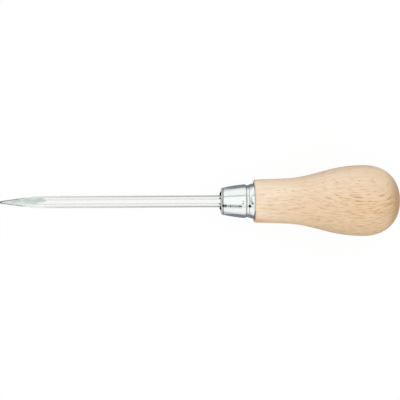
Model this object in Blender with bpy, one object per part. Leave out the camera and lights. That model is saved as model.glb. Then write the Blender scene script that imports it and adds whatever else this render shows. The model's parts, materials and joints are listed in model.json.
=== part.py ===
"""Awl: a turned beech handle, a rolled sheet ferrule and a round blade ground to a four-square point.

Each piece is modelled about the tool's own axis, with x running from the point to the butt of the handle.
The parent empty lays the tool down on the bench, z = 0, where it rests on its shank and on the belly of
its handle.
"""

import math

import bmesh
import bpy
from mathutils import Vector
from mathutils.geometry import interpolate_bezier

MM = 0.001

OVERALL_LENGTH = 200 * MM
FIT_GAP = 0.3 * MM  # clearance left where one piece seats in another
TURNED_SIDES = 40

# Blade: round bar, ground at one end and forged square at the other
SHANK_RADIUS = 3 * MM
BAR_SIDES = 32
BLADE_REACH = 110 * MM  # from the point to the mouth of the ferrule
FLAT_RUN = 23.7 * MM  # from the point to where a ground flat runs out on the round
FLAT_START = 0.6 * MM  # half the thickness across the flats, carried on to the very end
FLAT_TURN = math.radians(20)  # the upper flat leans this far towards +Y
NOSE_LENGTH = 0.55 * MM  # the last stretch, ground steeper for strength
NOSE_END = 0.1 * MM  # half the width of its blunt end
SHANK_IN_WOOD = 12 * MM  # the bar stays round this far behind the ferrule's mouth
FORGED_SHOULDER = 3 * MM
TANG_LENGTH = 44 * MM
TANG_ROOT = 2.1 * MM  # half the side of the square
TANG_TIP = 1.2 * MM
BORE_SPARE = 1.5 * MM  # depth of bore left beyond the tang

# Ferrule: rolled from sheet, butted along a seam, its mouth turned in and a groove rolled round it
FERRULE_LENGTH = 16.4 * MM
SHEET = 0.8 * MM
MOUTH_RADIUS = 4 * MM
MOUTH_CORNER = 1.2 * MM
FRONT_RADIUS = 6.8 * MM
REAR_RADIUS = 8.75 * MM
FLANK_BOW = 0.66  # 0 is a straight cone
GROOVE_AT = 13.15 * MM  # from the mouth to its bottom
GROOVE_FRONT = 1.3 * MM  # from its bottom to its steeper edge
GROOVE_BACK = 2.7 * MM  # from its bottom to its gentler edge
GROOVE_DEPTH = 0.6 * MM
SEAM_WIDTH = 0.35 * MM
SEAM_TURN = math.radians(20)  # the seam lies this far towards -Y from the top

# Handle: turned beech
NECK_RADIUS = 10.75 * MM
NECK_CORNER = 0.95 * MM
NECK_LENGTH = 14.65 * MM
NECK_FLARE = 0.033  # gain in radius along the neck
SWELL_FROM_NECK = 16.6 * MM  # how far the neck's line leads into the swell
SWELL_TO_BELLY = 18.9 * MM  # how far the belly's line leads into it
BELLY_RADIUS = 17.75 * MM
BELLY_FROM_BUTT = 17.8 * MM
DOME_SIDE = 8.9 * MM  # how far the belly's line leads into the dome
DOME_END = 12.6 * MM  # how far the butt's flat line leads into it

FERRULE_REAR = BLADE_REACH + FERRULE_LENGTH
SHOULDER = FERRULE_REAR + FIT_GAP
SHANK_END = BLADE_REACH + SHANK_IN_WOOD
TANG_START = SHANK_END + FORGED_SHOULDER
TANG_END = TANG_START + TANG_LENGTH


def spread(first, last, count):
    """Evenly spaced values from first to last, both included."""
    return [first + (last - first) * i / (count - 1) for i in range(count)]


def quarter_round(centre_x, centre_radius, reach, count=5):
    """Arc that turns a face square to the axis, on the point's side, into one along it."""
    turns = spread(0, math.pi / 2, count)
    return [(centre_x - reach * math.cos(a), centre_radius + reach * math.sin(a)) for a in turns]


def flank_radius(x):
    """Outer radius of the ferrule at x: a bowed cone less the rolled groove."""
    start = BLADE_REACH + MOUTH_CORNER
    share = (x - start) / (FERRULE_REAR - start)
    cone = FRONT_RADIUS + (REAR_RADIUS - FRONT_RADIUS) * (share + FLANK_BOW * share * (1 - share))
    off_groove = x - BLADE_REACH - GROOVE_AT
    reach = GROOVE_BACK if off_groove > 0 else GROOVE_FRONT
    if abs(off_groove) > reach:
        return cone
    return cone - GROOVE_DEPTH * (1 + math.cos(math.pi * off_groove / reach)) / 2


def flank(inset):
    """The ferrule's flank from behind its rounded mouth to its rear edge, set in by the inset."""
    bottom = BLADE_REACH + GROOVE_AT
    cone = spread(BLADE_REACH + MOUTH_CORNER, bottom - GROOVE_FRONT, 5)
    groove = spread(bottom - GROOVE_FRONT, bottom, 5)[1:] + spread(bottom, bottom + GROOVE_BACK, 6)[1:]
    return [(x, flank_radius(x) - inset) for x in cone + groove + [FERRULE_REAR]]


def ferrule_outline():
    """Closed outline of the sheet: out from the mouth's hole, back along the flank, forward inside it."""
    corner_x = BLADE_REACH + MOUTH_CORNER
    corner_radius = FRONT_RADIUS - MOUTH_CORNER
    outside = [(BLADE_REACH, MOUTH_RADIUS)]
    outside += quarter_round(corner_x, corner_radius, MOUTH_CORNER)[:-1] + flank(0)
    inside = [(BLADE_REACH + SHEET, MOUTH_RADIUS)]
    inside += quarter_round(corner_x, corner_radius, MOUTH_CORNER - SHEET, 3)[:-1] + flank(SHEET)
    return outside + inside[::-1]


def bezier(knot, lead, arrive, end, count):
    """Points (x, radius) of one cubic span, leaving out its first."""
    ends = [Vector((x, radius, 0)) for x, radius in (knot, lead, arrive, end)]
    return [(point.x, point.y) for point in interpolate_bezier(*ends, count)][1:]


def handle_outline():
    """Half outline of the wood, from the middle of the tenon's end to the middle of the butt."""
    tenon_end = BLADE_REACH + SHEET + FIT_GAP
    tenon = flank(SHEET + FIT_GAP)
    outline = [(tenon_end, 0), (tenon_end, tenon[0][1])] + tenon[1:-1]
    outline.append((SHOULDER, tenon[-1][1]))
    outline += quarter_round(SHOULDER + NECK_CORNER, NECK_RADIUS - NECK_CORNER, NECK_CORNER, 4)
    neck_end = SHOULDER + NECK_LENGTH
    neck_end_radius = NECK_RADIUS + NECK_FLARE * NECK_LENGTH
    outline.append((neck_end, neck_end_radius))
    belly = OVERALL_LENGTH - BELLY_FROM_BUTT
    outline += bezier(
        (neck_end, neck_end_radius),
        (neck_end + SWELL_FROM_NECK, neck_end_radius + NECK_FLARE * SWELL_FROM_NECK),
        (belly - SWELL_TO_BELLY, BELLY_RADIUS),
        (belly, BELLY_RADIUS),
        13,
    )
    outline += bezier(
        (belly, BELLY_RADIUS),
        (belly + DOME_SIDE, BELLY_RADIUS),
        (OVERALL_LENGTH, DOME_END),
        (OVERALL_LENGTH, 0),
        13,
    )
    return outline


def finish_object(name, bm, material, parent):
    """Puts a bmesh into a named object that is smooth but for its real edges."""
    bmesh.ops.recalc_face_normals(bm, faces=bm.faces)
    mesh = bpy.data.meshes.new(name)
    bm.to_mesh(mesh)
    bm.free()
    mesh.shade_smooth()
    mesh.set_sharp_from_angle(angle=math.radians(30))
    if material:
        mesh.materials.append(material)
    made = bpy.data.objects.new(name, mesh)
    made.parent = parent
    bpy.context.collection.objects.link(made)
    return made


def turned(outline, closed):
    """Spins an outline of (x, radius) points about the tool's axis, with a flat at its foot."""
    bm = bmesh.new()
    foot = math.pi / TURNED_SIDES
    down = Vector((0, math.sin(foot), -math.cos(foot)))
    points = [bm.verts.new(Vector((x, 0, 0)) + radius * down) for x, radius in outline]
    following = points[1:] + points[:1] if closed else points[1:]
    edges = [bm.edges.new(pair) for pair in zip(points, following)]
    bmesh.ops.spin(
        bm, geom=points + edges, axis=(1, 0, 0), angle=2 * math.pi, steps=TURNED_SIDES, use_merge=True
    )
    bmesh.ops.remove_doubles(bm, verts=bm.verts, dist=FIT_GAP / 100)
    return bm


def bar_loft(sections):
    """Closed bar through (x, half width, squareness) sections; squareness 0 is round and 1 is square."""
    bm = bmesh.new()
    rings = []
    for x, half, squareness in sections:
        ring = []
        for i in range(BAR_SIDES):
            turn = 2 * math.pi * i / BAR_SIDES
            across = Vector((0, math.sin(turn), math.cos(turn)))
            across *= half / max(abs(across.y), abs(across.z)) ** squareness
            ring.append(bm.verts.new(Vector((x, 0, 0)) + across))
        rings.append(ring)
    for ring, following in zip(rings, rings[1:]):
        for i in range(BAR_SIDES):
            j = (i + 1) % BAR_SIDES
            bm.faces.new((ring[i], ring[j], following[j], following[i]))
    bm.faces.new(rings[0])
    bm.faces.new(rings[-1])
    bmesh.ops.recalc_face_normals(bm, faces=bm.faces)
    return bm


def grind(bm, run, rise, start):
    """Cuts four flats that rise from the given half thickness at x = 0 by the rise over the run."""
    for quarter in range(4):
        turn = FLAT_TURN + quarter * math.pi / 2
        out = Vector((0, math.sin(turn), math.cos(turn)))
        cut = bmesh.ops.bisect_plane(
            bm,
            geom=bm.verts[:] + bm.edges[:] + bm.faces[:],
            dist=FIT_GAP / 1000,
            plane_co=out * start,
            plane_no=out * run - Vector((rise, 0, 0)),
            clear_outer=True,
        )
        edges = [item for item in cut["geom_cut"] if isinstance(item, bmesh.types.BMEdge)]
        bmesh.ops.contextual_create(bm, geom=edges)


def blade_mesh():
    """Round bar with its forged tang, ground to the four flats and the steeper nose."""
    bm = bar_loft([
        (0, SHANK_RADIUS, 0),
        (SHANK_END, SHANK_RADIUS, 0),
        (TANG_START, TANG_ROOT, 1),
        (TANG_END, TANG_TIP, 1),
    ])
    grind(bm, FLAT_RUN, SHANK_RADIUS - FLAT_START, FLAT_START)
    nose_shoulder = FLAT_START + (SHANK_RADIUS - FLAT_START) * NOSE_LENGTH / FLAT_RUN
    grind(bm, NOSE_LENGTH, nose_shoulder - NOSE_END, NOSE_END)
    return bm


def bore_mesh():
    """What the tang's bore takes out of the wood: the bar and tang with clearance all round."""
    return bar_loft([
        (BLADE_REACH, SHANK_RADIUS + FIT_GAP, 0),
        (SHANK_END, SHANK_RADIUS + FIT_GAP, 0),
        (TANG_START, TANG_ROOT + FIT_GAP, 1),
        (TANG_END + BORE_SPARE, TANG_TIP + FIT_GAP, 1),
    ])


def seam_mesh():
    """Thin slab on the tool's axis that opens the butt seam along one side of the ferrule."""
    bm = bmesh.new()
    made = bmesh.ops.create_cube(bm, size=1)
    middle = Vector((BLADE_REACH + FERRULE_LENGTH / 2, 0, REAR_RADIUS))
    bmesh.ops.scale(bm, vec=(2 * FERRULE_LENGTH, SEAM_WIDTH, 2 * REAR_RADIUS), verts=made["verts"])
    bmesh.ops.translate(bm, vec=middle, verts=made["verts"])
    return bm


def cut_with(target, cutter):
    """Takes the cutter's shape out of the target and leaves the cutter as a wire guide."""
    cutter.hide_render = True
    cutter.display_type = "WIRE"
    modifier = target.modifiers.new(cutter.name, "BOOLEAN")
    modifier.operation = "DIFFERENCE"
    modifier.object = cutter


def plain_material(name, colour, roughness, metallic):
    material = bpy.data.materials.new(name)
    material.use_nodes = True
    shader = material.node_tree.nodes["Principled BSDF"]
    shader.inputs["Base Color"].default_value = (*colour, 1)
    shader.inputs["Roughness"].default_value = roughness
    shader.inputs["Metallic"].default_value = metallic
    return material


def lie_down(parent, blade, outline):
    """Lays the tool on z = 0, touching with blade and belly, with the middle of its box over the origin."""
    foot = math.cos(math.pi / TURNED_SIDES)
    under_blade = [(v.co.x, -v.co.z) for v in blade.data.vertices if v.co.x < BLADE_REACH]
    under_wood = [(x, radius * foot) for x, radius in outline if x > SHOULDER]
    slope = min(
        max((wood_depth - depth) / (wood_x - x) for wood_x, wood_depth in under_wood)
        for x, depth in under_blade
    )
    angle = math.atan(slope)
    rise = Vector((math.cos(angle), math.sin(angle)))
    lowest = min(x * rise.y - depth * rise.x for x, depth in under_blade)
    near = min(x * rise.x + depth * rise.y for x, depth in under_blade)
    far = max(x * rise.x + radius * rise.y for x, radius in under_wood)
    parent.rotation_euler = (0, -angle, 0)
    parent.location = (-(near + far) / 2, 0, -lowest)


def build():
    for old in list(bpy.data.objects):
        bpy.data.objects.remove(old)

    awl = bpy.data.objects.new("awl", None)
    bpy.context.collection.objects.link(awl)
    beech = plain_material("lacquered_beech", (0.79, 0.60, 0.40), 0.45, 0)
    plated_sheet = plain_material("nickel_plated_sheet", (0.78, 0.80, 0.80), 0.16, 1)
    polished_steel = plain_material("polished_steel", (0.76, 0.77, 0.76), 0.22, 1)

    outline = handle_outline()
    handle = finish_object("handle", turned(outline, closed=False), beech, awl)
    cut_with(handle, finish_object("tang_bore", bore_mesh(), None, awl))

    ferrule = finish_object("ferrule", turned(ferrule_outline(), closed=True), plated_sheet, awl)
    seam = finish_object("seam_gap", seam_mesh(), None, awl)
    seam.rotation_euler = (SEAM_TURN, 0, 0)
    cut_with(ferrule, seam)

    blade = finish_object("blade", blade_mesh(), polished_steel, awl)
    lie_down(awl, blade, outline)


build()
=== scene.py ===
import json
import math

import bpy
import numpy as np
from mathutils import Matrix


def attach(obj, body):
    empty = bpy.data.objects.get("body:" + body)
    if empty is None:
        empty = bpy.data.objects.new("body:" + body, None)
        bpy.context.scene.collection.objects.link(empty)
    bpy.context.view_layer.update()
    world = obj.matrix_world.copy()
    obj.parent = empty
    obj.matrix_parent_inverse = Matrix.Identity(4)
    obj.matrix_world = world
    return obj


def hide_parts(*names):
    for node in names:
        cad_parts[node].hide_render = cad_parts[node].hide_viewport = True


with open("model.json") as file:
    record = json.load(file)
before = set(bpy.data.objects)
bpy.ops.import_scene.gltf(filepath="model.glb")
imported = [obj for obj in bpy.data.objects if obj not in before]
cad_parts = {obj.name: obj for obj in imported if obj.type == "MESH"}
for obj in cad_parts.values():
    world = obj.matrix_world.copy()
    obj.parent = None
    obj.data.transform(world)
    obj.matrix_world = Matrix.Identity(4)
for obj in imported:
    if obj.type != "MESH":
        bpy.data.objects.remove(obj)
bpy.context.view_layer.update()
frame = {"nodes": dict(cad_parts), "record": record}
print("frame loaded:", ", ".join(sorted(frame["nodes"])))

mm = 0.001
mouthReach = 110  # mm from the point of the blade to the mouth of the ferrule
overallLength = 200  # mm from the point to the butt
fitGap = 0.3  # mm left where one piece seats in another

# The tool's own axes, read from the flat ring at the ferrule's mouth: along runs from the point to the butt,
# side towards the top of the photograph, and up away from the bench
mouthRing = frame["record"]["mounts"][0]
mouthRingMiddle = 4.8  # mm from the tool's axis to the spot on the ring that the record gives
along = -np.array(mouthRing["axis"])
side = np.array([0.0, 1.0, 0.0])
up = np.cross(along, side)
toolTip = np.array(mouthRing["pos_m"]) - mm * (mouthReach * along + mouthRingMiddle * up)
benchLean = math.asin(along[2])  # the axis rises this much from the point to the butt


def toFrame(x, y, z):
    # millimetres along, across and up the tool become metres in the frame
    return toolTip + mm * (x[..., None] * along + y[..., None] * side + z[..., None] * up)


# Meshes
def gridFaces(rows, columns, closedRows=False, closedColumns=True):
    # quads between neighbouring rows and columns of a grid; a closed way joins its last line to its first
    rowStarts = np.arange(rows - (not closedRows))
    columnStarts = np.arange(columns - (not closedColumns))
    i, j = np.meshgrid(rowStarts, columnStarts, indexing="ij")
    nextRow = (i + 1) % rows * columns
    nextColumn = (j + 1) % columns
    quads = [i * columns + j, nextRow + j, nextRow + nextColumn, i * columns + nextColumn]
    return np.stack(quads, axis=-1).reshape(-1, 4)


def evenTurns(columns):
    # angles from up towards side, evenly round the tool's axis
    return np.arange(columns) * 2 * math.pi / columns


def turnedSurface(x, radius, turn):
    # each row is a loop round the tool's axis: x along it, radius out from it, turn from up towards side.
    # A point on the axis closes the first loop and another the last
    points = toFrame(x, radius * np.sin(turn), radius * np.cos(turn))
    rows, columns = radius.shape
    ends = toFrame(x[[0, -1]].mean(axis=1), np.zeros(2), np.zeros(2))
    firstPole = rows * columns
    lastRow = firstPole - columns
    j = np.arange(columns)
    k = (j + 1) % columns
    firstFan = np.stack([np.full(columns, firstPole), j, k], axis=-1)
    lastFan = np.stack([lastRow + j, np.full(columns, firstPole + 1), lastRow + k], axis=-1)
    faces = gridFaces(rows, columns).tolist() + firstFan.tolist() + lastFan.tolist()
    return np.concatenate([points.reshape(-1, 3), ends]), faces


def addPiece(name, points, faces, materials, node):
    # its place is in its mesh; it rides on the one body and stands for its CAD node
    mesh = bpy.data.meshes.new(name)
    mesh.from_pydata(points.tolist(), [], faces)
    mesh.shade_smooth()
    for material in materials:
        mesh.materials.append(material)
    piece = bpy.data.objects.new(name, mesh)
    bpy.context.scene.collection.objects.link(piece)
    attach(piece, "root")
    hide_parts(node)
    print(name, "made:", len(mesh.polygons), "faces in", ", ".join(made.name for made in materials))
    return piece


def addAttribute(piece, name, values, poles=()):
    # one number for each vertex, for the material to read; the two that close a turned surface come last
    made = piece.data.attributes.new(name, "FLOAT", "POINT")
    made.data.foreach_set("value", np.append(values, poles).astype(np.float32))


def hump(distance, reach):
    # bell curve: 1 in the middle, about a third at the reach
    return np.exp(-((distance / reach) ** 2))


def fadeOut(distance, softness):
    # 1 well before a distance of 0, a half there and 0 well past it
    return 1 / (1 + np.exp(distance / softness))


def turnBetween(turn, degrees):
    # the smaller angle from a line at these degrees, in degrees
    return abs((np.degrees(turn) - degrees + 180) % 360 - 180)


def quarterRound(x, radius, reach, count):
    # arc from a face square to the axis, on the point's side, to one along it, about a centre at x and radius
    turn = np.linspace(0, math.pi / 2, count)
    return np.stack([x - reach * np.cos(turn), radius + reach * np.sin(turn)], axis=-1)


def cubicSpan(start, lead, arrive, end, count):
    # Bezier span: each point weighs start, lead, arrive and end by 1, 3, 3, 1 and powers of t and 1 - t
    t = np.linspace(0, 1, count)[:, None]
    weights = [(1 - t) ** 3, 3 * t * (1 - t) ** 2, 3 * t**2 * (1 - t), t**3]
    return sum(weight * np.array(knot, float) for weight, knot in zip(weights, (start, lead, arrive, end)))


# Materials
noiseSpan = (0.3, 0.7)  # nearly all values of a noise lie between these
bumpStrength = 0.4  # share of a relief that shows


def linear(code):
    # sRGB hex to linear red, green and blue, with an alpha of 1
    value = np.array([int(code[i:i + 2], 16) for i in (1, 3, 5)]) / 255
    value = np.where(value <= 0.04045, value / 12.92, ((value + 0.055) / 1.055) ** 2.4)
    return (*value.tolist(), 1.0)


def addNode(tree, kind, inputs=None, out=None, stops=(), **settings):
    # settings are the node's own; an input takes a value or a socket to link; stops fill a colour ramp
    made = tree.nodes.new("ShaderNode" + kind)
    for name, value in settings.items():
        setattr(made, name, value)
    for key, value in (inputs or {}).items():
        if isinstance(value, bpy.types.NodeSocket):
            tree.links.new(value, made.inputs[key])
        else:
            made.inputs[key].default_value = value
    for i, (place, grey) in enumerate(stops):
        stop = made.color_ramp.elements[i] if i < 2 else made.color_ramp.elements.new(place)
        stop.position = place
        stop.color = (grey, grey, grey, 1)
    return made if out is None else made.outputs[out]


def newMaterial(name, constants):
    # the constants stand on the shader's own sockets
    material = bpy.data.materials.new(name)
    material.use_nodes = True
    shader = material.node_tree.nodes["Principled BSDF"]
    for socket, value in constants.items():
        shader.inputs[socket].default_value = value
    return material, material.node_tree, shader


def toolSpace(tree, turn=0.0):
    # millimetres along, across and up the tool, turned about its axis
    place = addNode(tree, "TexCoord", out="Object")
    inputs = {"Vector": place, "Location": toolTip, "Rotation": (turn, -benchLean, 0), "Scale": (mm, mm, mm)}
    return addNode(tree, "Mapping", inputs, out=0, vector_type="TEXTURE")


# A look is a ground colour with layers over it, each a pattern, where it starts and where it is full, its
# share there and its colour. Mottles are cloudy noises: mm along the three ways of their space, and detail.
# Attributes are numbers that the piece's vertices carry. Roughness is a pattern and two ends, relief a
# pattern and a depth in mm
def basePatterns(tree, space, look):
    # the look's mottles and attributes, by name
    patterns = {}
    for name, (sizes, detail) in look["mottles"].items():
        place = addNode(tree, "VectorMath", {0: space, 1: sizes}, out=0, operation="DIVIDE")
        patterns[name] = addNode(tree, "TexNoise", {"Vector": place, "Scale": 1.0, "Detail": detail}, out=0)
    for name in look["attributes"]:
        patterns[name] = addNode(tree, "Attribute", out="Fac", attribute_name=name)
    return patterns


def layered(tree, look, patterns):
    # from the ground up, each layer comes in smoothly with its pattern, up to its share
    colour = linear(look["ground"])
    for name, low, high, share, over in look["layers"]:
        eased = {0: patterns[name], 1: low, 2: high, 3: 0.0, 4: share}
        cover = addNode(tree, "MapRange", eased, out=0, interpolation_type="SMOOTHSTEP")
        mixed = {0: cover, 6: colour, 7: linear(look["colours"][over])}
        colour = addNode(tree, "Mix", mixed, out=2, data_type="RGBA")
    return colour


def finishShader(tree, shader, look, patterns):
    # the layers give the colour, one pattern the roughness and another the relief
    tree.links.new(layered(tree, look, patterns), shader.inputs["Base Color"])
    name, low, high = look["roughness"]
    scaled = {0: patterns[name], 1: noiseSpan[0], 2: noiseSpan[1], 3: low, 4: high}
    tree.links.new(addNode(tree, "MapRange", scaled, out=0), shader.inputs["Roughness"])
    name, depth = look["relief"]
    raised = {"Height": patterns[name], "Distance": depth * mm, "Strength": bumpStrength}
    tree.links.new(addNode(tree, "Bump", raised, out=0), shader.inputs["Normal"])


beech = {
    "ground": "#F0DDC4",
    "colours": {
        "tan": "#E1C39F",
        "ringLine": "#DDB98F",
        "fibre": "#D8B48A",
        "pink": "#E3AE82",
        "fleck": "#B0804A",
        "butt": "#A07742",
        # painted shade: the dark colour of the hidden bore and tenon, and of the corner at the shoulder
        "endGrain": "#3E3018",
    },
    "layers": [
        ("tan", 0.0, 1.0, 1.0, "tan"),
        ("cloud", 0.42, 0.65, 0.32, "ringLine"),
        ("rings", 0.6, 1.0, 0.12, "ringLine"),
        ("fibre", 0.48, 0.68, 0.4, "fibre"),
        ("vein", 0.68, 0.8, 0.2, "pink"),
        ("streak", 0.0, 1.0, 0.8, "pink"),
        ("fleck", 0.0, 1.0, 1.0, "fleck"),
        ("buttGrain", 0.0, 1.0, 0.85, "butt"),
        ("endRings", 0.2, 0.9, 0.35, "fleck"),
        ("endGrain", 0.0, 1.0, 1.0, "endGrain"),
    ],
    # along the grain, round the log and out along its radius
    "mottles": {
        "fibre": ((22.0, 0.7, 0.7), 3.0),
        "cloud": ((45.0, 10.0, 10.0), 2.0),
        "vein": ((26.0, 1.1, 6.0), 1.0),
    },
    "attributes": ["strokes", "flakes", "streak", "buttGrain", "endGrain"],
    "roughness": ("fibre", 0.42, 0.56),
    "relief": ("pores", 0.04),
    "shader": {"Coat Weight": 0.1, "Coat Roughness": 0.25, "Specular IOR Level": 0.3},
    "logTurn": 42,  # degrees from the tool's up to the log's radius
    "wander": ((55.0, 16.0, 16.0), 1.0),  # mm from bend to bend of the grain, and detail
    "bend": 3.0,  # mm that the grain wanders
    # from cream at this many mm from the point, the wood goes to tan over so many mm towards the butt and so
    # many towards the photograph's foot
    "creamAt": 118.0,
    "tanAlong": 88.0,
    "tanAcross": 40.0,
    "ringWidth": 2.6,  # mm
    "ringStretch": 14.0,  # the rings wobble this many times slower along the grain
    "ringWobble": {"Distortion": 3.0, "Detail": 1.0, "Detail Scale": 0.4},
    # ray flecks: mm between them along the grain and round the log, half their size as a share of that, how
    # rare and how dark. Strokes show where rays are cut across, flakes where they are cut at a slant
    "strokes": [
        ((14.0, 0.52), 0.34, 0.45, 0.64),
        ((10.0, 0.8), 0.26, 0.48, 0.6),
        ((8.0, 0.4), 0.36, 0.4, 0.56),
    ],
    "flakes": [((6.5, 0.3), 0.34, 0.56, 0.6)],
    "fleckScatter": 0.85,  # 0 sets them in rows
    "fleckCore": 1 / 3,  # share of a fleck that is full dark
    "rarityBlur": 0.08,  # more leaves some of them half drawn
}


def lacqueredBeech():
    # Turned, sanded beech under satin lacquer: pale cream and pinkish tan clouds, short brown ray flecks
    # along the grain, faint growth rings, browner end grain round the butt that is partly painted shade, pink
    # bands of painted shade along the outline, dark painted shade in the bore, on the tenon and at the
    # shoulder, and a soft shine.
    # Rays are 0.2 mm thick and fibres finer: they are drawn up to 0.4 and 0.7 mm thick so that they show
    material, tree, shader = newMaterial("lacqueredBeech", beech["shader"])
    logTurn = math.radians(beech["logTurn"])
    straight = toolSpace(tree, logTurn)
    sizes, detail = beech["wander"]
    slow = addNode(tree, "VectorMath", {0: straight, 1: sizes}, out=0, operation="DIVIDE")
    wander = addNode(tree, "TexNoise", {"Vector": slow, "Scale": 1.0, "Detail": detail}, out="Color")
    bend = {0: wander, 1: (0.0, beech["bend"], beech["bend"]), 2: straight}
    grain = addNode(tree, "VectorMath", bend, out=0, operation="MULTIPLY_ADD")
    patterns = basePatterns(tree, grain, beech)

    # each fleck is a cell of a Voronoi pattern, long along the grain and thin round the log
    fleck = 0.0
    blur = beech["rarityBlur"]
    for name in ("strokes", "flakes"):
        for (length, thickness), reach, rarity, share in beech[name]:
            sizes = (length, thickness, 1.0)
            place = addNode(tree, "VectorMath", {0: grain, 1: sizes}, out=0, operation="DIVIDE")
            cells = {"Vector": place, "Scale": 1.0, "Randomness": beech["fleckScatter"]}
            rays = addNode(tree, "TexVoronoi", cells, voronoi_dimensions="2D", distance="MANHATTAN")
            core = reach * beech["fleckCore"]
            form = {0: rays.outputs["Distance"], 1: core, 2: reach, 3: share, 4: 0.0}
            pick = {0: rays.outputs["Color"], 1: rarity - blur, 2: rarity + blur}
            drawn = patterns[name]
            for inputs in (form, pick):
                factor = addNode(tree, "MapRange", inputs, out=0)
                drawn = addNode(tree, "Math", {0: drawn, 1: factor}, out=0, operation="MULTIPLY")
            fleck = addNode(tree, "Math", {0: fleck, 1: drawn}, out=0, operation="MAXIMUM")
    patterns["fleck"] = fleck
    patterns["pores"] = addNode(tree, "Math", {0: patterns["fibre"], 1: fleck}, out=0, operation="SUBTRACT")

    stretch = (beech["ringStretch"], 1.0, 1.0)
    ringPlace = addNode(tree, "VectorMath", {0: grain, 1: stretch}, out=0, operation="DIVIDE")
    wavePeriod = 2 * math.pi / 20  # the wave's own, at a scale of 1
    wave = {"Vector": ringPlace, "Scale": wavePeriod / beech["ringWidth"], **beech["ringWobble"]}
    rings = addNode(tree, "TexWave", wave, out=1, bands_direction="Z")
    patterns["rings"] = rings
    onButt = {0: patterns["buttGrain"], 1: rings}
    patterns["endRings"] = addNode(tree, "Math", onButt, out=0, operation="MULTIPLY")

    across = 1 / beech["tanAcross"]
    tanWay = (1 / beech["tanAlong"], -math.cos(logTurn) * across, math.sin(logTurn) * across)
    reached = addNode(tree, "VectorMath", {0: grain, 1: tanWay}, out="Value", operation="DOT_PRODUCT")
    tanStart = beech["creamAt"] / beech["tanAlong"]
    patterns["tan"] = addNode(tree, "Math", {0: reached, 1: tanStart}, out=0, operation="SUBTRACT")
    finishShader(tree, shader, beech, patterns)
    return material


plate = {
    "ground": "#DADFDD",
    "colours": {"dull": "#CFD5D3", "grimeAndShade": "#161817"},
    # the grime colour also paints shade inside and round the mouth, and dark reflection lines
    "layers": [("polish", 0.5, 0.75, 0.6, "dull"), ("grimeAndShade", 0.0, 1.0, 1.0, "grimeAndShade")],
    "mottles": {"polish": ((9.0, 0.3, 0.3), 2.0), "unevenness": ((4.0, 3.0, 3.0), 1.0)},
    "attributes": ["grimeAndShade"],
    "roughness": ("polish", 0.09, 0.16),
    "grimeAndShadeRoughness": 0.9,
    "relief": ("unevenness", 0.04),
    "shader": {"Metallic": 1.0},
}


def platedSheet():
    # Bright nickel plate on rolled sheet steel: nearly a mirror, a little uneven, with fine polishing lines
    # along it, grime in the seam, dark lines painted in the groove and behind the lip as reflections, and
    # painted shade round the mouth and inside.
    # Polishing lines are finer than 0.05 mm: they are drawn 0.3 mm wide so that they show
    material, tree, shader = newMaterial("brightNickelPlate", plate["shader"])
    patterns = basePatterns(tree, toolSpace(tree), plate)
    finishShader(tree, shader, plate, patterns)
    polished = shader.inputs["Roughness"].links[0].from_socket
    matt = addNode(tree, "Mix", {0: patterns["grimeAndShade"], 2: polished, 3: plate["grimeAndShadeRoughness"]}, out=0)
    tree.links.new(matt, shader.inputs["Roughness"])
    return material


barSteel = {
    "ground": "#DCDCDA",
    "colours": {"dull": "#CDCECB"},
    "layers": [("drawing", 0.5, 0.75, 0.5, "dull")],
    "mottles": {"drawing": ((250.0, 0.5, 0.5), 1.0)},
    "attributes": [],
    "roughness": ("drawing", 0.2, 0.3),
    "relief": ("drawing", 0.003),
    "shader": {"Metallic": 1.0},
}


def polishedSteel():
    # Drawn round bar of tool steel, polished: bright, with faint drawing lines along it.
    # Drawing lines are about 0.05 mm wide: they are drawn 0.5 mm wide so that they show
    material, tree, shader = newMaterial("polishedToolSteel", barSteel["shader"])
    finishShader(tree, shader, barSteel, basePatterns(tree, toolSpace(tree), barSteel))
    return material


flatSteel = {
    "ground": "#D8E2DC",
    "colours": {"dark": "#C2CFC8", "scratch": "#EEF3F0", "paintedSheen": "#F2F3F2", "burrAndDarkEnd": "#5C6862"},
    "layers": [
        ("clouds", 0.4, 0.62, 1.0, "dark"),
        ("marks", 0.6, 0.75, 0.8, "scratch"),
        # painted reflection: the lower flat made brighter
        ("paintedSheen", 0.0, 1.0, 0.8, "paintedSheen"),
        ("brokenBurrAndDarkEnd", 0.1, 0.45, 0.9, "burrAndDarkEnd"),
    ],
    "mottles": {
        "marks": ((0.6, 4.0, 4.0), 2.0),
        "clouds": ((4.0, 1.6, 1.6), 2.0),
        "breaks": ((1.6, 5.0, 5.0), 1.0),
    },
    "attributes": ["burrAndDarkEnd", "paintedSheen"],
    "roughness": ("marks", 0.34, 0.24),
    "relief": ("marks", 0.02),
    "shader": {"Metallic": 1.0},
}


def groundSteel():
    # Flats left from a grinding wheel: matt, greenish grey, cloudy, with bright scratches across the tool, a
    # dark broken burr along two of the ridges, a darker very end, and the flat that faces away from side
    # painted brighter as a painted reflection.
    # Wheel marks are 0.1 mm apart: they are drawn 0.6 mm apart so that they show
    material, tree, shader = newMaterial("groundToolSteel", flatSteel["shader"])
    patterns = basePatterns(tree, toolSpace(tree), flatSteel)
    broken = {0: patterns["burrAndDarkEnd"], 1: patterns["breaks"]}
    patterns["brokenBurrAndDarkEnd"] = addNode(tree, "Math", broken, out=0, operation="MULTIPLY")
    finishShader(tree, shader, flatSteel, patterns)
    return material


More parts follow.
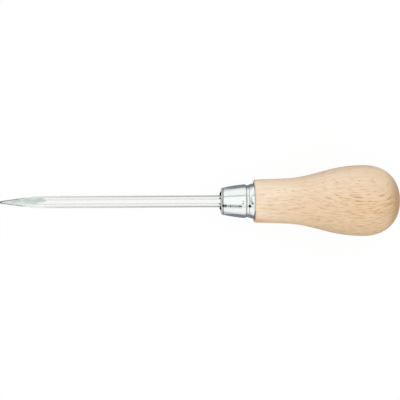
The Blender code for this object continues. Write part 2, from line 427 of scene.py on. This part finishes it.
# Ferrule: rolled from sheet and butted along a seam, its mouth turned in and a groove rolled round it
ferrule = {
    "length": 16.4,  # mm, as all sizes here
    "sheet": 0.8,
    "mouthRadius": 4.0,
    "mouthCorner": 1.2,
    "frontRadius": 6.8,
    "rearRadius": 8.75,
    "flankBow": 0.66,  # 0 is a straight cone
    "grooveAt": 13.15,  # from the mouth to its bottom
    "grooveFront": 1.3,  # from its bottom to its steeper edge
    "grooveBack": 2.7,  # from its bottom to its gentler edge
    "grooveDepth": 0.6,
    "seamTurn": -20,  # degrees from up towards side, at the mouth
    "seamSlant": 0.14,  # degrees more for each mm from it
    "seamGap": 0.04,  # half the gap where grime lies in it
    "seamTight": 0.3,  # share of that gap left in the rest of the seam
    # where the seam springs open: from the mouth, half the length, half the gap
    "seamOpens": [
        (0.95, 0.4, 0.6),
        (2.05, 0.3, 0.5),
        (4.5, 0.3, 0.14),
        (9.2, 0.7, 0.12),
        (13.95, 0.5, 0.72),
    ],
    "edgeDrop": 0.12,  # how far the sheet's edges are rounded over
    "edgeReach": 0.25,  # how far from the seam
    "seamGrime": (1.0, 10.2),  # from the mouth
    "seamGrimeSoft": 0.15,  # how softly it ends
    "seamGrimeReach": 0.85,  # across the seam
    "seamGrimeDark": 0.64,
    "dotSpacing": 1.05,  # it lies in dots
    "dotDepth": 0.25,  # how much paler it is between them
    "edgeGrimeReach": 0.12,  # across the edges
    # on tight edges, more in the grime and more for each mm that they spring open
    "edgeGrimeDark": (0.25, 0.3, 4.0),
    # beads at the mouth beside the blade, painted black as the shade in the gap round the blade: degrees from
    # up and half their width
    "beads": [(42, 9), (-39, 7.5)],
    "beadAt": 5.3,  # from the axis
    "beadReach": 0.6,  # half their length in and out
    "beadHeight": 0.82,
    "beadFlat": 2.2,  # more is flatter on top
    "beadShadeSpan": (0.075, 0.2),  # share of its height where a bead's painted shade starts and where it is full
    # dark lines painted round it as the reflections that the turned-in lip and the groove catch, behind the
    # lip and in the groove: from the mouth, half their width, how dark
    "reflectionLines": [(0.75, 0.34, 0.68), (12.35, 0.45, 0.35), (13.75, 0.24, 0.45)],
    "reflectionLineSlant": 0.09,  # they lie back from the top to the sides by this share of the drop
    # stains: from the mouth, degrees from up, half their size, how dark
    "stains": [
        (15.4, -8.0, 0.5, 1.0),
        (15.1, -2.0, 0.35, 0.65),
        (10.7, -1.0, 0.35, 0.8),
        (10.6, -9.0, 0.4, 0.85),
    ],
    "ringRows": 9,
    "cornerRows": 13,
    "coneRows": 48,
    "grooveRows": 44,
    "columns": 240,
    "columnsFrom": 0.013,  # share of the way round where they start
    "edgeColumns": [0.0, 0.0012, 0.003, 0.0055, 0.009],  # the same for closer ones, at each edge of the seam
    "sharpTurn": 35,  # degrees between faces from which an edge stays sharp
}
ferruleRear = mouthReach + ferrule["length"]


def flankRadius(x):
    # a cone bowed outwards by a parabola, less a groove of two half cosine waves, a short one and a long one
    start = mouthReach + ferrule["mouthCorner"]
    share = (x - start) / (ferruleRear - start)
    bowed = share + ferrule["flankBow"] * share * (1 - share)
    cone = ferrule["frontRadius"] + (ferrule["rearRadius"] - ferrule["frontRadius"]) * bowed
    fromGroove = x - mouthReach - ferrule["grooveAt"]
    reach = np.where(fromGroove > 0, ferrule["grooveBack"], ferrule["grooveFront"])
    return cone - ferrule["grooveDepth"] * (1 + np.cos(math.pi * np.clip(fromGroove / reach, -1, 1))) / 2


def flank(inset):
    # the flank from behind the rounded mouth to the rear edge, set in by the inset
    grooveStart = mouthReach + ferrule["grooveAt"] - ferrule["grooveFront"]
    cone = np.linspace(mouthReach + ferrule["mouthCorner"], grooveStart, ferrule["coneRows"])
    groove = np.linspace(grooveStart, ferruleRear, ferrule["grooveRows"])[1:]
    x = np.concatenate([cone, groove])
    return np.stack([x, flankRadius(x) - inset], axis=-1)


def sheetSide(inset):
    # one side of the sheet from the mouth's hole to the rear edge, as (x, radius)
    corner = ferrule["mouthCorner"]
    middle = (mouthReach + corner, ferrule["frontRadius"] - corner)
    arc = quarterRound(*middle, corner - inset, ferrule["cornerRows"])
    ring = np.linspace([mouthReach + inset, ferrule["mouthRadius"]], arc[0], ferrule["ringRows"])
    return np.concatenate([ring[:-1], arc[:-1], flank(inset)])


def rolledFerrule(material):
    # rows follow the sheet's outline, out along its outside and back along its inside; columns go round the
    # axis from one edge of the seam to the other
    outside = sheetSide(0)
    inside = sheetSide(ferrule["sheet"])
    outline = np.concatenate([outside, inside[::-1]])
    isOutside = (np.arange(len(outline)) < len(outside))[:, None]
    nearSeam = np.array(ferrule["edgeColumns"])
    middle = np.linspace(ferrule["columnsFrom"], 1 - ferrule["columnsFrom"], ferrule["columns"])
    share = np.concatenate([nearSeam, middle, 1 - nearSeam[::-1]])
    rows, columns = len(outline), len(share)
    x, radius = outline[:, :1], outline[:, 1:]
    fromMouth = x - mouthReach

    # half the seam's gap: a thin line, closing towards the rear, that springs open here and there
    start, end = ferrule["seamGrime"]
    alongSeam = fadeOut(abs(fromMouth - (start + end) / 2) - (end - start) / 2, ferrule["seamGrimeSoft"])
    opened = sum(gap * hump(fromMouth - place, reach) for place, reach, gap in ferrule["seamOpens"])
    tight = ferrule["seamTight"]
    gap = (ferrule["seamGap"] * (tight + (1 - tight) * alongSeam) + opened) / radius
    seamTurn = np.radians(ferrule["seamTurn"] + ferrule["seamSlant"] * fromMouth)
    turn = seamTurn + gap + share * (2 * math.pi - 2 * gap)
    fromEdge = np.minimum(share, 1 - share) * 2 * math.pi * radius
    radius = radius - ferrule["edgeDrop"] * hump(fromEdge, ferrule["edgeReach"]) * isOutside
    onRing = hump(radius - ferrule["beadAt"], ferrule["beadReach"]) * isOutside
    beads = onRing * sum(hump(turnBetween(turn, degrees), width) for degrees, width in ferrule["beads"])
    bead = np.tanh(ferrule["beadFlat"] * beads)
    x = x - ferrule["beadHeight"] * bead
    points = toFrame(x, radius * np.sin(turn), radius * np.cos(turn)).reshape(-1, 3)

    outer = np.arange(len(outside) - 1) * columns
    inner = (rows - 1) * columns - outer
    firstCut = np.stack([outer, inner, inner - columns, outer + columns], axis=-1)
    lastCut = firstCut[:, ::-1] + columns - 1
    faces = np.concatenate([gridFaces(rows, columns, True, False), firstCut, lastCut]).tolist()
    piece = addPiece("rolledFerrule", points, faces, [material], "ferrule")
    piece.data.set_sharp_from_angle(angle=math.radians(ferrule["sharpTurn"]))

    # grime in dots along the seam, on its edges and in stains; painted shade on the beads and all over
    # inside; painted reflection lines behind the lip and in the groove
    paler = ferrule["dotDepth"]
    dotted = 1 - paler + paler * np.sin(2 * math.pi * fromMouth / ferrule["dotSpacing"])
    seamGrime = ferrule["seamGrimeDark"] * dotted * alongSeam * hump(fromEdge, ferrule["seamGrimeReach"])
    onTight, inGrime, onOpen = ferrule["edgeGrimeDark"]
    edgeDark = np.clip(onTight + inGrime * alongSeam + onOpen * opened, 0, 1)
    edgeGrime = hump(fromEdge, ferrule["edgeGrimeReach"]) * edgeDark
    drop = radius * (1 - np.maximum(np.cos(turn), 0))
    fromTop = fromMouth - ferrule["reflectionLineSlant"] * drop
    # painted reflection: dark lines in place of the reflections that the lip and the groove catch
    reflectionLines = sum(dark * hump(fromTop - place, reach) for place, reach, dark in ferrule["reflectionLines"])
    # painted shade: the inside of the sheet and the edge of the mouth's hole are painted fully dark
    shadeInside = np.where(isOutside & (outline[:, 1:] > ferrule["mouthRadius"]), 0.0, 1.0) + 0 * turn
    stains = sum(
        dark * hump(np.hypot(fromMouth - place, np.radians(turnBetween(turn, degrees)) * radius), size)
        for place, degrees, size, dark in ferrule["stains"]
    )
    # painted shade: the beads are painted black, as the shade in the gap round the blade
    beadShade = np.interp(bead, ferrule["beadShadeSpan"], (0, 1))
    grimeAndShade = np.maximum.reduce([seamGrime, edgeGrime, reflectionLines, shadeInside, stains, beadShade])
    addAttribute(piece, "grimeAndShade", grimeAndShade)


rolledFerrule(platedSheet())

# Blade: round bar, ground to four flats at the point and forged to a square tang in the wood
blade = {
    "radius": 3.0,  # mm, as all sizes here
    "flatRun": 23.7,  # from the point to where a flat runs out on the round
    "flatStart": 0.44,  # half the thickness across the flats, carried on to the very end
    "flatTurn": 20,  # degrees from up towards side that a flat faces
    "noseLength": 1.1,
    "noseEnd": 0.12,  # half the thickness of the very end
    "burrWidths": (0.45, 1.0),  # on the upper and the lower side of the photograph
    "burrRun": 13.0,  # it fades out this far from the point
    "burrFade": 0.6,  # how softly
    "endDarkening": 3.0,  # how much darker the very end is
    "endDarkeningReach": 1.05,
    "sheenFade": 0.9,  # how softly the painted sheen on the lower flat comes in past the burr
    "sheenSharp": 10.0,  # how sharply that stops at its ridges
    "shankInWood": 12.0,
    "forgedShoulder": 3.0,
    "tangLength": 44.0,
    "tangRoot": 2.1,  # half the side of the square
    "tangTip": 1.2,
    "edgePower": 20,  # a higher power makes sharper ridges and corners
    "rows": 40,  # on the flats, and again on the round
    "columns": 144,  # a line every 2.5 degrees meets each ridge of the point and each corner of the tang
    "sharpTurn": 25,  # degrees between faces from which an edge stays sharp
}
shankEnd = mouthReach + blade["shankInWood"]
tangStart = shankEnd + blade["forgedShoulder"]
tangEnd = tangStart + blade["tangLength"]


def squareRatio(turn):
    # half the side of a square over the distance from its middle to its outline; the power rounds the corners
    power = blade["edgePower"]
    return (abs(np.sin(turn)) ** power + abs(np.cos(turn)) ** power) ** (1 / power)


def groundBlade(bar, flats):
    # along each line of the bar the ground square grows from the nose until it runs out on the round, where
    # its outline is as far from the axis as the bar's, and from there the line stays on the round
    columns = blade["columns"]
    turn = evenTurns(columns)
    fromFlat = turn - math.radians(blade["flatTurn"])
    ratio = squareRatio(fromFlat)
    rise = (blade["radius"] - blade["flatStart"]) / blade["flatRun"]
    runOut = (blade["radius"] * ratio - blade["flatStart"]) / rise
    steps = np.linspace(0, 1, blade["rows"])[:, None]
    flatX = blade["noseLength"] + steps * (runOut - blade["noseLength"])
    flatRadius = (blade["flatStart"] + rise * flatX) / ratio
    roundX = runOut + steps[1:] ** 2 * (shankEnd - runOut)
    roundRadius = blade["radius"] + 0 * roundX
    tangX = np.array([[tangStart], [tangEnd]]) + 0 * turn
    tangHalf = np.array([[blade["tangRoot"]], [blade["tangTip"]]])
    x = np.concatenate([0 * turn[None], flatX, roundX, tangX])
    noseEnd = blade["noseEnd"] / ratio
    radius = np.concatenate([noseEnd[None], flatRadius, roundRadius, tangHalf / squareRatio(turn)])
    points, faces = turnedSurface(x, radius, turn)
    piece = addPiece("groundBlade", points, faces, [bar, flats], "blade")

    # the end, the nose and the flats are ground; the rest is bar
    groundRows = len(flatX)
    firstFan = (len(x) - 1) * columns
    materialIndex = np.zeros(len(faces), np.int32)
    materialIndex[:groundRows * columns] = 1
    materialIndex[firstFan:firstFan + columns] = 1
    piece.data.polygons.foreach_set("material_index", materialIndex)
    # edges along the run-out line and the ridges stay sharp
    piece.data.set_sharp_from_angle(angle=math.radians(blade["sharpTurn"]))
    ends = np.empty(len(piece.data.edges) * 2, np.int32)
    piece.data.edges.foreach_get("vertices", ends)
    onRunOut = (ends.reshape(-1, 2) // columns == groundRows).all(axis=1)
    sharp = np.empty(len(piece.data.edges), bool)
    piece.data.attributes["sharp_edge"].data.foreach_get("value", sharp)
    piece.data.attributes["sharp_edge"].data.foreach_set("value", sharp | onRunOut)

    # the burr follows two opposite ridges, where the wheel left each flat, and the very end is darker
    fromRidge = fromFlat - math.pi / 4
    width = np.where(np.cos(fromRidge) > 0, *blade["burrWidths"])
    ridgeBurr = hump(radius * np.sin(fromRidge), width) * fadeOut(x - blade["burrRun"], blade["burrFade"])
    burrAndDarkEnd = np.maximum(ridgeBurr, blade["endDarkening"] * hump(x, blade["endDarkeningReach"]))
    addAttribute(piece, "burrAndDarkEnd", burrAndDarkEnd, (1.0, 0.0))
    # painted reflection: the flat that faces away from side is painted brighter, as the bright paper that it
    # reflects
    lowerFlat = np.clip(blade["sheenSharp"] * (-np.sin(fromFlat) - math.cos(math.pi / 4)), 0, 1)
    paintedSheen = lowerFlat * fadeOut(blade["burrRun"] - x, blade["sheenFade"])
    addAttribute(piece, "paintedSheen", paintedSheen, (0.0, 0.0))


groundBlade(polishedSteel(), groundSteel())

# Handle: turned beech with a tenon in the ferrule and a bore for the tang
handle = {
    "neckRadius": 10.75,  # mm, as all sizes here
    "neckCorner": 0.95,
    "neckLength": 14.65,
    "neckFlare": 0.033,  # gain in radius along the neck
    "swellFromNeck": 16.6,  # how far the neck's line leads into the swell
    "swellToBelly": 18.9,  # how far the belly's line leads into it
    "bellyRadius": 17.75,
    "bellyFromButt": 17.8,
    "domeSide": 8.9,  # how far the belly's line leads into the dome
    "domeEnd": 12.6,  # how far the butt's flat line leads into it
    "boreSpare": 1.5,  # depth of bore left beyond the tang
    "shoulderGap": 0.15,  # the wood is driven up to the ferrule
    # pink streaks near the top, and pink bands at 60 to 80 degrees from up painted as shade along the
    # outline: from the point, degrees from up, half their length and width, how strong
    "streaks": [
        (129.2, 15.8, 3.0, 0.6, 0.65),
        (173.5, 12.5, 5.0, 0.7, 0.4),
        (129.0, 78.0, 5.0, 2.5, 0.45),
        (128.5, -70.0, 5.0, 3.5, 0.75),
        (158.0, 78.0, 9.0, 3.0, 0.45),
        (181.0, 80.0, 8.0, 3.5, 0.5),
        (139.0, 60.0, 12.0, 4.0, 0.25),
        (138.0, -62.0, 10.0, 3.0, 0.25),
        (154.5, 35.0, 9.0, 4.0, 0.32),
        (175.0, -14.0, 14.0, 3.5, 0.25),
    ],
    # how much the surface looks round the log, and how strong ray flecks are there
    "flakesFacing": ([0.74, 0.9, 0.975, 0.998], [0, 1, 1, 0.1]),
    "strokesFacing": ([0.74, 0.96], [1, 0.1]),
    "strokesGrow": (0.68, 1.45),  # at the shoulder and at the butt
    # shade painted in the corner at the shoulder: degrees from up, half its width, how dark
    "shoulderShade": [(-57, 13, 0.65), (-36, 9, 0.6), (76, 10, 0.4)],
    "shoulderShadeReach": 0.6,  # along the tool
    "buttFrom": 0.26,  # share of the way to facing backwards where the browner end grain and its painted shade start
    "buttPower": 1.3,  # more brings it in later
    "cornerRows": 9,
    "neckRows": 16,
    "curveRows": 56,  # in the swell, and again in the dome
    "columns": 192,
    "sharpTurn": 40,  # degrees between faces from which an edge stays sharp
}


def turnedHandle(material):
    # a bore that goes from square to round, then the wood's outline: tenon, shoulder, neck, swell and dome
    turn = evenTurns(handle["columns"])
    boreX = np.array([tangEnd + handle["boreSpare"], tangStart, shankEnd])
    boreRadius = np.stack([
        (blade["tangTip"] + fitGap) / squareRatio(turn),
        (blade["tangRoot"] + fitGap) / squareRatio(turn),
        blade["radius"] + fitGap + 0 * turn,
    ])
    shoulder = ferruleRear + handle["shoulderGap"]
    tenon = flank(ferrule["sheet"] + fitGap)
    tenonEnd = mouthReach + ferrule["sheet"] + fitGap
    neckEnd = np.array([shoulder + handle["neckLength"], handle["neckRadius"]])
    neckEnd[1] += handle["neckFlare"] * handle["neckLength"]
    neckLead = handle["swellFromNeck"] * np.array([1, handle["neckFlare"]])
    belly = np.array([overallLength - handle["bellyFromButt"], handle["bellyRadius"]])
    reach = handle["neckCorner"]
    corner = quarterRound(shoulder + reach, handle["neckRadius"] - reach, reach, handle["cornerRows"])
    swellEnd = belly - [handle["swellToBelly"], 0]
    swell = cubicSpan(neckEnd, neckEnd + neckLead, swellEnd, belly, handle["curveRows"])
    domeLead = belly + [handle["domeSide"], 0]
    butt = (overallLength, 0)
    dome = cubicSpan(belly, domeLead, (overallLength, handle["domeEnd"]), butt, handle["curveRows"])
    outline = np.concatenate([
        [[tenonEnd, blade["radius"] + fitGap], [tenonEnd, tenon[0, 1]]],
        tenon[1:-1],
        [[shoulder, tenon[-1, 1]]],
        corner,
        np.linspace(corner[-1], neckEnd, handle["neckRows"])[1:],
        swell[1:],
        dome[1:-1],
    ])
    x = np.concatenate([boreX, outline[:, 0]])[:, None] + 0 * turn
    radius = np.concatenate([boreRadius, outline[:, 1:] + 0 * turn])
    points, faces = turnedSurface(x, radius, turn)
    piece = addPiece("turnedHandle", points, faces, [material], "handle")
    piece.data.set_sharp_from_angle(angle=math.radians(handle["sharpTurn"]))

    # painted shade: the bore and the tenon are painted dark as end grain in shade, and shade is painted in
    # the corner at the shoulder
    cornerShade = sum(
        dark * hump(turnBetween(turn, degrees), width)
        for degrees, width, dark in handle["shoulderShade"]
    )
    endGrain = cornerShade * hump(x - shoulder, handle["shoulderShadeReach"])
    endGrain[:len(boreX) + len(tenon) + 1] = 1
    addAttribute(piece, "endGrain", endGrain, (1.0, 0.0))
    # browner end grain under the lacquer where the butt turns away, darkened further there as painted shade
    run, fall = np.gradient(x[:, 0]), -np.gradient(radius[:, 0])
    backward = fall / np.hypot(run, fall)
    shown = np.clip((backward - handle["buttFrom"]) / (1 - handle["buttFrom"]), 0, 1)
    addAttribute(piece, "buttGrain", shown[:, None] ** handle["buttPower"] + 0 * x, (0.0, 1.0))
    # flakes where the surface looks round the log, strokes elsewhere and bolder towards the butt
    facing = abs(np.sin(turn + math.radians(beech["logTurn"])))
    flakes = np.interp(facing, *handle["flakesFacing"]) + 0 * x
    grow = np.interp(x, [shoulder, overallLength], handle["strokesGrow"])
    addAttribute(piece, "flakes", flakes, (0.0, 0.0))
    addAttribute(piece, "strokes", np.interp(facing, *handle["strokesFacing"]) * grow, (0.0, 0.0))
    # partly painted shade: the bands near the outline stand in for the warmer shade where the surface turns
    # away
    streak = sum(
        strong * hump(x - place, length) * hump(np.radians(turnBetween(turn, degrees)) * radius, width)
        for place, degrees, length, width, strong in handle["streaks"]
    )
    addAttribute(piece, "streak", streak, (0.0, 0.0))


turnedHandle(lacqueredBeech())

# Stage: a sheet of paper under a light tent with a square soft panel overhead
stage = {
    "floorSide": 6.0,  # metres
    "paper": "#FFFFFF",
    "bounce": "#BEBEBE",  # the paper as it lights the object
    "shadowShare": 0.06,  # how much of the object's shadow the white paper shows
    "panelHeight": 1.5,  # metres
    "panelHalfAngle": 34,  # degrees from straight up to the panel's edge
    "panelGlow": 1.29,  # radiance, as the levels of the tent
    # degrees from straight up to the nearer wall, and level: behind the panel, gap round it, walls
    "tent": [(0, 0.05), (33, 0.05), (35, 0.71), (42, 0.71), (47, 1.27), (120, 1.27)],
    "endWalls": 0.34,  # level of the walls off the tool's ends, as a share of the others
    "endsFrom": (0.66, 0.85),  # share of a direction along X where they start and are full
    # share of a direction upwards to which white paper sweeps up them, and where it has ended
    "sweep": (0.08, 0.2),
}


def layFlat(name, first, last, half, height, material):
    # a rectangle from first to last along X and half to each side of it, in metres
    corners = [(first, -half, height), (last, -half, height), (last, half, height), (first, half, height)]
    mesh = bpy.data.meshes.new(name)
    mesh.from_pydata(corners, [], [(0, 1, 2, 3)])
    mesh.materials.append(material)
    sheet = bpy.data.objects.new(name, mesh)
    bpy.context.scene.collection.objects.link(sheet)
    return sheet


def paperFloor():
    # white to the camera and in reflections, and a plain grey paper to the light that it throws back
    material = bpy.data.materials.new("mattPaper")
    material.use_nodes = True
    tree = material.node_tree
    tree.nodes.clear()
    white = linear(stage["paper"])
    lit = addNode(tree, "BsdfDiffuse", {"Color": white}, out=0)
    glow = addNode(tree, "Emission", {"Color": white, "Strength": 1.0}, out=0)
    seen = addNode(tree, "MixShader", {0: stage["shadowShare"], 1: glow, 2: lit}, out=0)
    thrown = addNode(tree, "BsdfDiffuse", {"Color": linear(stage["bounce"])}, out=0)
    ray = addNode(tree, "LightPath")
    direct = ray.outputs["Is Camera Ray"]
    for other in ("Is Glossy Ray", "Is Transmission Ray"):
        direct = addNode(tree, "Math", {0: direct, 1: ray.outputs[other]}, out=0, use_clamp=True)
    surface = addNode(tree, "MixShader", {0: direct, 1: thrown, 2: seen}, out=0)
    addNode(tree, "OutputMaterial", {"Surface": surface})
    half = stage["floorSide"] / 2
    layFlat("paperFloor", -half, half, half, 0, material)


card = {
    "half": 0.064,  # metres from the tool's axis to its edges
    "ends": (-0.072, 0.11),  # metres along X
    "height": 0.0002,  # metres above the paper
    "shader": {"Roughness": 1.0},
    "ground": "#F2F3F3",
    "colours": {"dark": "#8A9099", "pale": "#F2F3F3"},
    # metres along X where it darkens, and from the tool's axis where it is pale again, under the tool
    "layers": [
        ("alongX", -0.068, -0.01, 0.5, "dark"),
        ("alongX", 0.0105, 0.0125, 1.0, "dark"),
        ("across", 0.011, 0.008, 1.0, "pale"),
    ],
}


def greyCard():
    # a card on the paper that only polished metal sees, pale beside the blade and dark beside the ferrule: it
    # gives the metal its dark rims
    material, tree, shader = newMaterial("greyCard", card["shader"])
    place = addNode(tree, "TexCoord", out="Object")
    split = addNode(tree, "SeparateXYZ", {0: place})
    across = addNode(tree, "Math", {0: split.outputs[1]}, out=0, operation="ABSOLUTE")
    shade = layered(tree, card, {"alongX": split.outputs[0], "across": across})
    tree.links.new(shade, shader.inputs["Base Color"])
    sheet = layFlat("greyCard", *card["ends"], card["half"], card["height"], material)
    sheet.visible_camera = False
    sheet.visible_diffuse = False
    sheet.visible_shadow = False


def softPanel():
    # square lamp straight above, as bright all over as its glow says
    size = 2 * stage["panelHeight"] * math.tan(math.radians(stage["panelHalfAngle"]))
    light = bpy.data.lights.new("softPanel", "AREA")
    light.shape = "SQUARE"
    light.size = size
    light.energy = math.pi * size**2 * stage["panelGlow"]  # watts for that radiance
    lamp = bpy.data.objects.new("softPanel", light)
    lamp.location = (0, 0, stage["panelHeight"])
    lamp.visible_camera = False
    bpy.context.scene.collection.objects.link(lamp)


def lightTent():
    # levels by the angle from straight up to the nearer wall, with dimmer walls off the tool's ends above a
    # sweep of white paper
    world = bpy.data.worlds.new("lightTent")
    world.use_nodes = True
    bpy.context.scene.world = world
    tree = world.node_tree
    tree.nodes.clear()
    way = addNode(tree, "TexCoord", out="Generated")
    split = addNode(tree, "SeparateXYZ", {0: way})
    acrossX = addNode(tree, "Math", {0: split.outputs[0]}, out=0, operation="ABSOLUTE")
    acrossY = addNode(tree, "Math", {0: split.outputs[1]}, out=0, operation="ABSOLUTE")
    outward = addNode(tree, "Math", {0: acrossX, 1: acrossY}, out=0, operation="MAXIMUM")
    angle = addNode(tree, "Math", {0: outward, 1: split.outputs[2]}, out=0, operation="ARCTAN2")
    share = addNode(tree, "Math", {0: angle, 1: math.pi}, out=0, operation="DIVIDE")
    levels = [(degrees / 180, value) for degrees, value in stage["tent"]]
    tent = addNode(tree, "ValToRGB", {0: share}, out=0, stops=levels)
    start, full = stage["endsFrom"]
    ends = addNode(tree, "MapRange", {0: acrossX, 1: start, 2: full, 3: 1.0, 4: stage["endWalls"]}, out=0)
    foot, top = stage["sweep"]
    sweep = addNode(tree, "MapRange", {0: split.outputs[2], 1: foot, 2: top, 3: 1.0, 4: 0.0}, out=0)
    strength = addNode(tree, "Math", {0: ends, 1: sweep}, out=0, operation="MAXIMUM")
    lit = addNode(tree, "Background", {"Color": tent, "Strength": strength}, out=0)
    addNode(tree, "OutputWorld", {"Surface": lit})


paperFloor()
greyCard()
softPanel()
lightTent()
print("stage ready")

# Camera: square on to the tool, a little nearer its point, with the photograph's frame at the tool's axis
view = {
    "frameWidth": 199.4,  # mm
    "distance": 900.0,  # mm
    "lean": 3.5,  # degrees from square on towards the point
    "roll": 0.3,  # degrees that the tool rises to the right
    "aimAlong": 99.75,  # mm from the point
    "aimAcross": 0.68,  # mm above the tool's axis in the picture
}


def photoCamera():
    # the columns of its pose are right, top and back, and the place of its eye
    camera = bpy.data.cameras.new("photoCamera")
    camera.lens = camera.sensor_width * view["distance"] / view["frameWidth"]
    lean = math.radians(view["lean"])
    roll = math.radians(view["roll"])
    back = math.cos(lean) * up - math.sin(lean) * along
    right = np.cross(side, back)
    top = math.cos(roll) * side + math.sin(roll) * right
    aim = toolTip + mm * (view["aimAlong"] * along + view["aimAcross"] * side)
    pose = np.eye(4)
    pose[:3, :3] = np.stack([np.cross(top, back), top, back], axis=1)
    pose[:3, 3] = aim + mm * view["distance"] * back
    eye = bpy.data.objects.new("photoCamera", camera)
    eye.matrix_world = pose.T.tolist()
    bpy.context.scene.collection.objects.link(eye)
    bpy.context.scene.camera = eye


photoCamera()
bpy.context.scene.view_settings.view_transform = "Standard"
print("camera ready")
